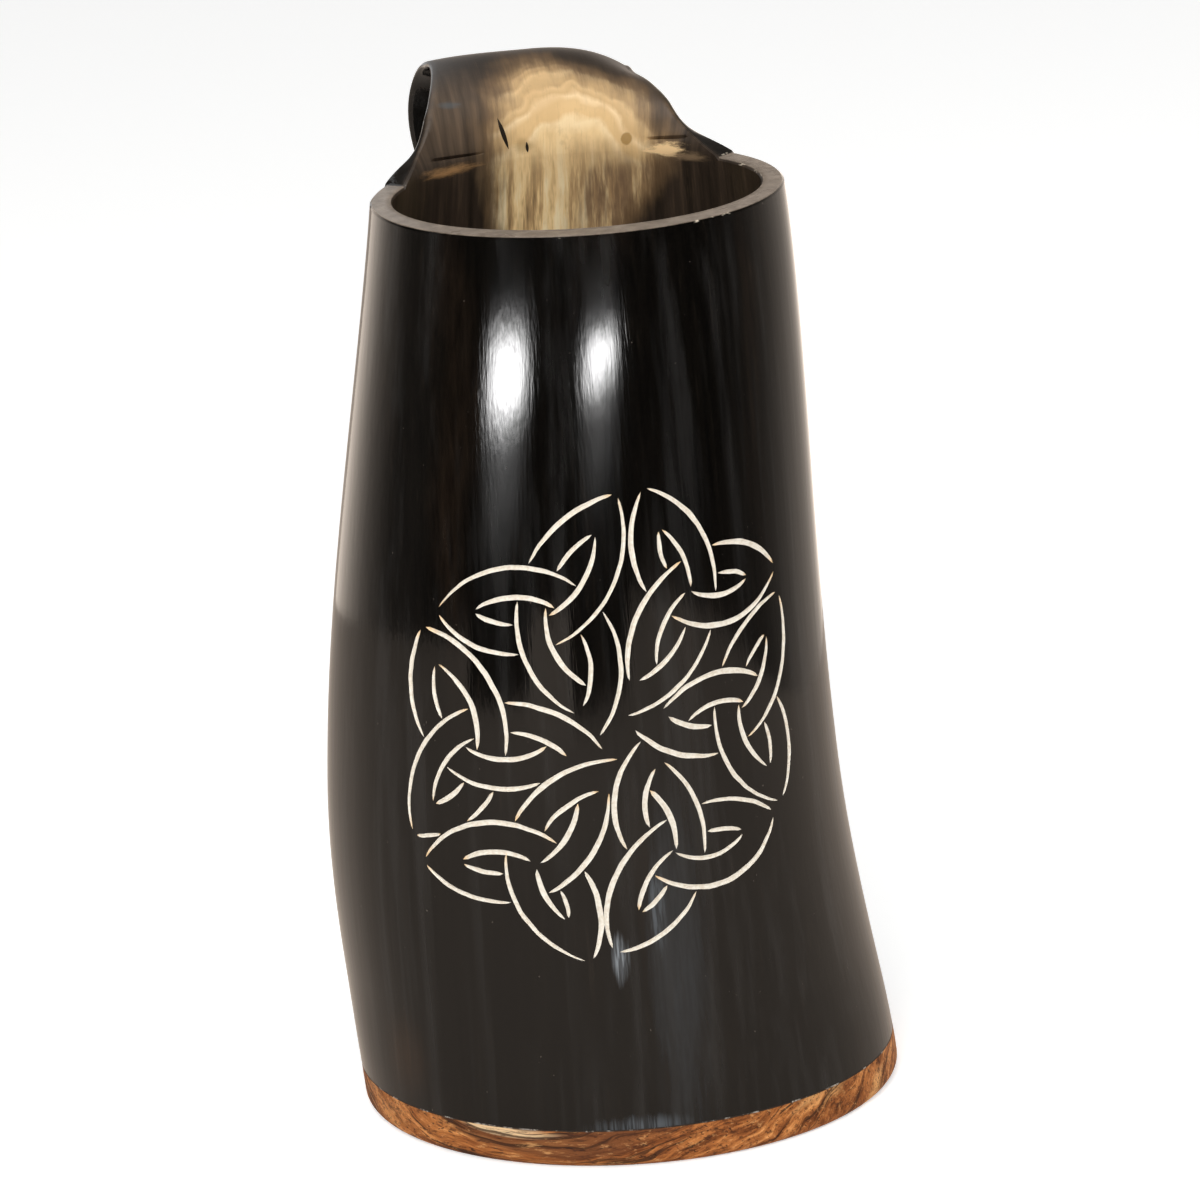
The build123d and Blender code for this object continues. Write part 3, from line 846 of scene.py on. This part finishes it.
def pale_patch(f, lay, across, along):
    """Share and colour of the pale patch: an arch over the bend that runs down the bore's back.

    Its growth bands are contours of the way along plus a slope to each side of the arch's ridge,
    swayed by slow noise; each pales slowly and ends sharply, under a thin haze. In the bore it breaks
    up into streaks along the fibres.
    """
    slow = f.noise(lay, (0.085, 0.085, 0.5), 2.0, 0.5)
    slow_too = f.noise(lay, (0.12, 0.10, 0.5), 2.0, 0.5, (5, 9, 0))
    quick = f.noise(lay, (0.45, 0.30, 0.5), 5.0, 0.6, (7, 3, 0))
    ripple = f.noise(lay, (0.22, 0.18, 0.5), 1.0, 0.4, (3, 1, 0))
    streak = f.noise(lay, (0.30, 0.028, 0.5), 5.0, 0.66, (1, 4, 0))
    feather = f.noise(lay, (0.8, 0.09, 0.5), 4.0, 0.62, (4, 6, 0))
    fine_streak = f.noise(lay, (3.4, 0.25, 0.5), 3.0, 0.6, (2, 2, 0))
    smoke = f.noise(lay, (0.16, 0.11, 0.5), 4.0, 0.6, (9, 2, 0))

    x = f.swayed(f.swayed(across, slow, 9.0), quick, 1.6)
    s = f.swayed(f.swayed(along, slow_too, 9.0), ripple, 3.2)
    fall = f.math("MINIMUM", along, 0.0)
    rise = f.math("MAXIMUM", s, 0.0)
    middle = f.math("MULTIPLY_ADD", rise, -0.28, f.math("MULTIPLY_ADD", fall, 0.17, 5.4))
    half = f.math("MULTIPLY_ADD", rise, -0.3, f.math("MULTIPLY_ADD", fall, 0.4, 17.2))
    half = f.math("MAXIMUM", half, 6.0)
    aside = f.math("ABSOLUTE", f.math("SUBTRACT", x, middle))
    beside = f.math("POWER", f.math("DIVIDE", aside, half), 2.1)
    above = f.math("POWER", f.math("DIVIDE", rise, 22.0), 2.1)
    arch = f.swayed(f.math("ADD", beside, above), feather, 0.75)
    share = f.times(f.stretch(arch, 1.7, 0.35), f.stretch(along, -110.0, -60.0))

    left_slope = f.times(f.math("MAXIMUM", f.math("SUBTRACT", 7.0, x), 0.0), 0.35)
    right_slope = f.times(f.math("MAXIMUM", f.math("SUBTRACT", x, 7.0), 0.0), 0.95)
    layer = f.math("DIVIDE", f.math("ADD", s, f.math("ADD", left_slope, right_slope)), 26.0)
    bands = f.ramp(
        f.swayed(layer, fine_streak, 0.03),
        (0.0, (0.84, 0.585, 0.295)), (0.14, (0.86, 0.61, 0.31)), (0.24, (0.90, 0.68, 0.39)),
        (0.29, (0.75, 0.50, 0.235)), (0.38, (0.73, 0.49, 0.235)), (0.44, (0.86, 0.63, 0.355)),
        (0.49, (0.62, 0.405, 0.19)), (0.54, (0.72, 0.49, 0.245)), (0.58, (0.52, 0.34, 0.163)),
        (0.64, (0.60, 0.405, 0.20)), (0.69, (0.80, 0.56, 0.295)), (0.74, (0.435, 0.28, 0.14)),
        (0.79, (0.57, 0.383, 0.20)), (0.83, (0.285, 0.18, 0.093)), (0.88, (0.375, 0.247, 0.128)),
        (0.95, (0.135, 0.086, 0.048)),
    )
    bands = f.tint(bands, (0.66, 0.43, 0.20), 0.55, smoke, 0.42, 0.64)
    streaks = f.ramp(streak, (0.35, (0.10, 0.058, 0.028)), (0.44, (0.46, 0.285, 0.128)),
                     (0.50, (0.90, 0.635, 0.31)), (0.57, (0.97, 0.795, 0.49)))
    colour = f.tint(bands, streaks, 0.85, s, 4.0, -8.0)
    shaded = f.times(f.stretch(x, 1.0, 9.0), f.stretch(s, 3.0, -6.0))
    shaded = f.times(shaded, f.stretch(feather, 0.3, 0.66, 0.35, 1.0))
    colour = f.blend(shaded, colour, (0.188, 0.114, 0.063))
    colour = f.tint(colour, (0.39, 0.255, 0.128), 0.3, quick, 0.55, 0.75)
    colour = f.tint(colour, (0.36, 0.225, 0.105), 0.25, fine_streak, 0.52, 0.78)
    fringe = f.times(f.stretch(share, 1.0, 0.35), 0.9)
    return share, f.blend(fringe, colour, (0.225, 0.132, 0.063))


def horn_finish():
    """Near-black polished horn, with a pale patch on the bend and the bore's back and a matt, sawn rim.

    The mesh's lay holds the way across the strip, the way along it, and 1 on the cup's side.
    """
    f = Finish("polished_horn")
    place, lay = f.place(), f.attribute("lay", "Vector")
    across, along, cup_side = f.add("SeparateXYZ", {"Vector": lay}).node.outputs
    sawn = f.attribute("sawn")
    inside = f.stretch(cup_side, 0.6, 0.95)

    share, pale = pale_patch(f, lay, across, along)
    share = f.times(share, inside)
    skin = f.blend(inside, dark_horn(f, place), cup_side_horn(f, lay, along))
    skin = f.blend(share, skin, pale)
    ragged = f.noise(lay, (0.35, 2.2, 0.5), 5.0, 0.7)
    for middle, half_size, uneven, soft, amount, mark_colour in strip_marks:
        mark = spot_mark(f, lay, middle, half_size, ragged, uneven, soft)
        skin = f.blend(f.times(f.times(mark, amount), inside), skin, mark_colour)
    cracks = f.math("MAXIMUM", line_mark(f, lay, *long_crack), line_mark(f, lay, *short_crack))
    cracks = f.times(cracks, inside)
    skin = f.blend(cracks, skin, (0.018, 0.012, 0.0075))

    saw = f.noise(place, (500, 500, 500), 5.0, 0.7)
    sawn_colour = f.ramp(saw, (0.3, (0.128, 0.099, 0.075)), (0.7, (0.3, 0.24, 0.188)))
    sawn_mask = f.stretch(sawn, 0.55, 0.95)
    colour = f.blend(sawn_mask, skin, sawn_colour)
    chipped = f.noise(place, (260, 260, 700), 3.0, 0.6)
    nick = f.times(f.stretch(sawn, 0.02, 0.4), f.stretch(chipped, 0.62, 0.70))
    colour = f.blend(f.times(nick, f.stretch(sawn, 1.0, 0.8)), colour, (0.63, 0.54, 0.42))

    smudge = f.noise(place, (45, 45, 22), 4.0, 0.6)
    gloss = f.stretch(smudge, 0.3, 0.75, 0.06, 0.095)
    for mask, duller in ((inside, 0.34), (share, 0.06), (sawn_mask, 0.2)):
        gloss = f.math("MULTIPLY_ADD", mask, duller, gloss)
    scratches = f.noise(place, (2600, 2600, 60), 2.0, 0.5)
    fibres = f.noise(place, (700, 700, 12), 3.0, 0.6)
    grain = f.bump(fibres, 0.00004, 0.5, f.bump(scratches, 0.00002, 0.5))
    grain = f.bump(saw, 0.00006, f.times(sawn_mask, 0.8), grain)
    grain = f.bump(f.math("SUBTRACT", 1.0, cracks), 0.0004, f.times(inside, 0.9), grain)
    f.surface(Base_Color=colour, Roughness=gloss, Normal=grain, Specular_IOR_Level=0.32)
    return f.material


def knot_fill_finish():
    """Cream filling with fine grain, warmer at the ends of the strokes."""
    f = Finish("cream_filling")
    place = f.place()
    grain = f.noise(place, (1400, 1400, 1400), 4.0, 0.6)
    cream = f.ramp(grain, (0.3, (0.72, 0.62, 0.49)), (0.55, (0.87, 0.80, 0.685)), (0.8, (0.93, 0.88, 0.79)))
    stain = f.noise(place, (60, 60, 60), 2.0, 0.5)
    warm = f.times(f.stretch(f.attribute("stroke_end"), 0.72, 1.0), f.stretch(stain, 0.45, 0.65))
    colour = f.blend(f.times(warm, 0.75), cream, (0.90, 0.58, 0.24))
    f.surface(Base_Color=colour, Roughness=0.62, Normal=f.bump(grain, 0.00005, 0.6))
    return f.material


def wood_finish():
    """Orange-brown wood, whose fibres lie along the front left and whose growth layers lean, so that
    the right shows their ends.

    Streaks are noises drawn out along the fibre and squeezed across the layers, which wander a little.
    """
    f = Finish("oiled_wood")
    ways = (fibre_way, np.cross(layer_way, fibre_way), layer_way)
    place = f.place()
    fibre, slope, layer = (f.vector("DOT_PRODUCT", place, way, "Value") for way in ways)
    straight = f.add("CombineXYZ", {"X": fibre, "Y": slope, "Z": layer})
    wander = f.noise(straight, (24, 60, 90), 3.0, 0.5)
    layer = f.math("ADD", layer, f.times(wander, 0.011))
    wavy = f.add("CombineXYZ", {"X": fibre, "Y": slope, "Z": layer})
    ring = f.noise(wavy, (18, 90, 560), 6.0, 0.74)
    colour = f.ramp(ring, (0.34, (0.075, 0.022, 0.0075)), (0.43, (0.247, 0.075, 0.019)),
                    (0.53, (0.495, 0.173, 0.045)), (0.66, (0.78, 0.345, 0.108)))
    broad = f.noise(wavy, (11, 40, 130), 3.0, 0.55, (3, 1, 0))
    colour = f.tint(colour, (0.93, 0.51, 0.195), 0.6, broad, 0.56, 0.70)
    colour = f.tint(colour, (0.112, 0.038, 0.015), 0.7, broad, 0.46, 0.33)
    sapwood = ((-0.0103, -0.0298, 0.0322), (0.011, 0.004, 0.0009))
    pale = spot_mark(f, straight, *sapwood, ring, 1.8, (1.2, 0.4))
    colour = f.blend(f.times(pale, 0.85), colour, (0.92, 0.65, 0.37))
    line = f.noise(wavy, (16, 80, 1100), 4.0, 0.62, (3, 1, 7))
    colour = f.tint(colour, (0.036, 0.015, 0.0075), 0.85, line, 0.56, 0.64)
    mottle = f.noise(straight, (200, 1100, 1100), 5.0, 0.7)
    colour = f.tint(colour, (0.075, 0.026, 0.011), 0.8, mottle, 0.48, 0.34)
    colour = f.tint(colour, (0.92, 0.48, 0.18), 0.5, mottle, 0.55, 0.70)
    pore = f.stretch(f.noise(straight, (110, 2600, 2600), 2.0, 0.5), 0.40, 0.31)
    colour = f.blend(f.times(pore, 0.8), colour, (0.033, 0.013, 0.0075))
    rough = f.stretch(ring, 0.3, 0.7, 0.62, 0.48)
    relief = f.bump(f.math("SUBTRACT", ring, pore), 0.00012, 0.5)
    f.surface(Base_Color=colour, Roughness=rough, Normal=relief, Specular_IOR_Level=0.15)
    return f.material


def glue_finish():
    """Dry glue, dark with dirt, and pale where it is chipped."""
    f = Finish("dry_glue")
    place = f.place()
    grain = f.noise(place, (900, 900, 900), 4.0, 0.6)
    clean = f.noise(place, (260, 260, 260), 4.0, 0.7, (2, 5, 1))
    pale = f.ramp(grain, (0.35, (0.24, 0.21, 0.18)), (0.65, (0.75, 0.69, 0.6)))
    colour = f.tint((0.03, 0.02, 0.014), pale, 0.8, clean, 0.52, 0.62)
    relief = f.bump(grain, 0.00005, 0.5)
    f.surface(Base_Color=colour, Roughness=0.6, Normal=relief, Specular_IOR_Level=0.2)
    return f.material


def resin_finish():
    """Amber resin, glossy, with faint clouds and ripples."""
    f = Finish("amber_resin")
    place = f.place()
    cloud = f.noise(place, (160, 160, 160), 3.0, 0.5)
    colour = f.ramp(cloud, (0.3, (0.16, 0.085, 0.028)), (0.7, (0.42, 0.26, 0.10)))
    ripple = f.noise(place, (260, 260, 260), 2.0, 0.5)
    rough = f.stretch(cloud, 0.3, 0.7, 0.12, 0.24)
    f.surface(Base_Color=colour, Roughness=rough, Normal=f.bump(ripple, 0.0002, 0.4))
    return f.material


def brass_finish():
    """Brass domed by hand: polished on top, tarnished in patches, finely scratched."""
    f = Finish("domed_brass")
    place = f.place()
    tarnish = f.noise(place, (420, 420, 420), 4.0, 0.6)
    scratch = f.noise(place, (300, 3000, 3000), 2.0, 0.5, turn=(0.3, 0.5, 0.2))
    colour = f.ramp(tarnish, (0.35, (0.33, 0.21, 0.08)), (0.6, (0.74, 0.55, 0.25)))
    rough = f.stretch(tarnish, 0.35, 0.65, 0.42, 0.22)
    f.surface(Base_Color=colour, Metallic=1.0, Roughness=rough, Normal=f.bump(scratch, 0.00003, 0.5))
    return f.material


# The cup
lines = []
for tips, angles in knot_triangles:
    lines += triangle_lines(np.array(tips), np.radians(angles), lines)
strokes = carve_strokes(lines, np.random.default_rng(7))

horn = horn_piece(strokes)
horn.data.materials.append(horn_finish())
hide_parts("horn_body")

knot_fill = knot_fill_piece(strokes)
knot_fill.data.materials.append(knot_fill_finish())

resin = resin_finish()
finishes = {
    "base_disc": wood_finish(),
    "base_glue": glue_finish(),
    "handle_pins": brass_finish(),
    "seal_bead": resin,
    "handle_glue": resin,
}
for node, finish in finishes.items():
    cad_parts[node].data.materials.clear()
    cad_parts[node].data.materials.append(finish)


# Floor, light and camera, in metres
def pale_stage():
    """A pale floor that shows white to the camera and keeps the cup's shadow."""
    corners = 3.0 * np.array([(-1, -1, 0), (1, -1, 0), (1, 1, 0), (-1, 1, 0)])
    floor = new_object("floor", new_mesh("floor", corners, [(0, 1, 2, 3)]))
    f = Finish("pale_floor")
    rays = f.add("LightPath", {}).node.outputs
    mirrored = f.math("MAXIMUM", rays["Is Glossy Ray"], rays["Is Transmission Ray"])
    colour = f.blend(mirrored, (0.82, 0.82, 0.81), (0.87, 0.73, 0.615))
    f.surface(Base_Color=colour, Roughness=0.9, Specular_IOR_Level=0.1)
    f.surface(Emission_Color=(1, 1, 1), Emission_Strength=f.times(rays["Is Camera Ray"], 0.5))
    floor.data.materials.append(f.material)


def mirrored_sheet(name, points, glow, colour):
    """A dark sheet on the stage that reflections alone see: a grid of points, with a glow at each."""
    faces = grid_quads(np.arange(glow.size).reshape(glow.shape)).tolist()
    mesh = new_mesh(name, points.reshape(-1, 3), faces, [("glow", glow.ravel())])
    f = Finish(name)
    f.surface(Base_Color=(0.01, 0.01, 0.01), Roughness=1.0, Specular_IOR_Level=0.0)
    f.surface(Emission_Color=colour, Emission_Strength=f.attribute("glow"))
    mesh.materials.append(f.material)
    piece = new_object(name, mesh)
    for kind in ("camera", "diffuse", "transmission", "volume_scatter", "shadow"):
        setattr(piece, "visible_" + kind, False)


def dark_screen():
    """A dark curtain round the front, so that the polished wall stays dark.

    It stands on a circle that ends the part of the floor which the lower wall mirrors, and pales low
    down to its two ends, which the cup's sides mirror. The handle's bend mirrors the dark part above.
    Each step of the paling is an amount, the turn in degrees where it starts, and its run.
    """
    middle, radius, height = (-0.148, -0.19), 0.51, 1.0
    left_steps = ((0.14, 70, 30), (0.66, 112, 38), (1.0, 140, 30))
    right_steps = ((0.14, 85, 25), (0.66, 105, 32), (1.0, 135, 28))
    heights = np.append(np.linspace(0, 0.3, 13), height)
    turn, rise = np.meshgrid(np.linspace(-178, 168, 87), heights)
    x = middle[0] + radius * np.sin(np.radians(turn))
    y = middle[1] - radius * np.cos(np.radians(turn))
    pale_left = sum(amount * ease((-turn - start) / run) for amount, start, run in left_steps)
    pale_right = sum(amount * ease((turn - start) / run) for amount, start, run in right_steps)
    low_down = 1 - 0.9 * ease((rise - 0.15) / 0.12)
    glow = (pale_left + pale_right) * low_down
    mirrored_sheet("dark_screen", np.stack([x, y, rise], -1), glow, (1.0, 0.86, 0.74))


def facing(place, aim):
    """Right, up and back ways of a light at a place that is turned towards a point."""
    back = np.subtract(place, aim) / np.linalg.norm(np.subtract(place, aim))
    right = np.cross((0, 0, 1), back)
    right /= np.linalg.norm(right)
    return np.column_stack([right, np.cross(back, right), back])


def glow_panel(name, place, aim, half_size, glow):
    """A panel that only polish mirrors: a bell across it, and up it a bell with a dim one below."""
    low, high = -0.11, 0.04
    across, rise = np.meshgrid(np.linspace(-1, 1, 33), np.linspace(low, high, 61))
    right, up, _ = facing(place, aim).T
    points = np.array(place) + across[..., None] * half_size * right + rise[..., None] * up
    bright = bell(rise, 0.0, 0.0115) + 0.025 * bell(rise, -0.032, 0.02)
    ends = ease((high - rise) / 0.01) * ease((rise - low) / 0.02)
    bright = bright * np.cos(np.pi / 2 * across) ** 2 * ends
    mirrored_sheet(name, points, glow * bright, (1, 1, 1))


def set_at(piece, ways, place):
    """Puts an object at a place, turned to its right, up and back ways."""
    top = np.column_stack([ways, place])
    piece.matrix_world = Matrix(np.vstack([top, (0, 0, 0, 1)]).tolist())


def soft_light(name, place, aim, size, power, shines):
    """A square light, turned towards a point; polish mirrors it if it shines."""
    light = bpy.data.lights.new(name, "AREA")
    light.size = size
    light.energy = power
    lamp = new_object(name, light)
    set_at(lamp, facing(place, aim), place)
    lamp.visible_camera = False
    lamp.visible_glossy = shines


def studio_world():
    """White to the camera and in reflections, softer where it lights the cup."""
    world = bpy.data.worlds.new("studio")
    bpy.context.scene.world = world
    world.use_nodes = True
    world.node_tree.nodes.clear()
    w = Nodes(world.node_tree)
    rays = w.add("LightPath", {}).node.outputs
    mirrored = w.math("MAXIMUM", rays["Is Glossy Ray"], rays["Is Transmission Ray"])
    seen = w.math("MAXIMUM", rays["Is Camera Ray"], mirrored)
    light, white = (w.add("Background", {"Color": (1, 1, 1), "Strength": s}) for s in (0.3, 1.0))
    output = world.node_tree.nodes.new("ShaderNodeOutputWorld")
    w.put(output.inputs["Surface"], w.add("MixShader", {0: seen, 1: light, 2: white}))


def photo_camera():
    """The camera where the outline of the cup puts it: 1.2 m away, 18 degrees up, rolled 3.6 degrees."""
    elevation, roll = np.radians(18.0), np.radians(-3.6)
    aim, distance = np.array([-0.45, 0.0, 90.3]) * metres, 1.2
    back = np.array([0, -np.cos(elevation), np.sin(elevation)])
    level, upright = np.array([1.0, 0, 0]), np.array([0, np.sin(elevation), np.cos(elevation)])
    right = np.cos(roll) * level + np.sin(roll) * upright
    up = np.cos(roll) * upright - np.sin(roll) * level
    lens = bpy.data.cameras.new("photo_camera")
    lens.sensor_width = 36.0
    lens.lens = 204.2
    lens.clip_start, lens.clip_end = 0.05, 20.0
    camera = new_object("photo_camera", lens)
    set_at(camera, np.column_stack([right, up, back]), aim + distance * back)
    bpy.context.scene.camera = camera


pale_stage()
dark_screen()
studio_world()
upper_front = np.array([0.0, -0.035, 0.145])
glow_panel("left_panel", (-0.275, -0.417, 0.118), upper_front, 0.115, 75.0)
glow_panel("right_panel", (0.066, -0.496, 0.107), upper_front, 0.10, 65.0)
soft_light("front_key", (-0.2, -1.0, 0.75), (0, 0, 0.12), 0.5, 9.6, shines=False)
soft_light("right_fill", (0.8, 0.1, 0.35), (0, 0, 0.05), 0.5, 2.0, shines=False)
soft_light("overhead_softbox", (-0.2, -0.1, 1.3), (0, 0, 0.1), 0.9, 4.2, shines=True)
photo_camera()
bpy.context.scene.view_settings.view_transform = "Standard"
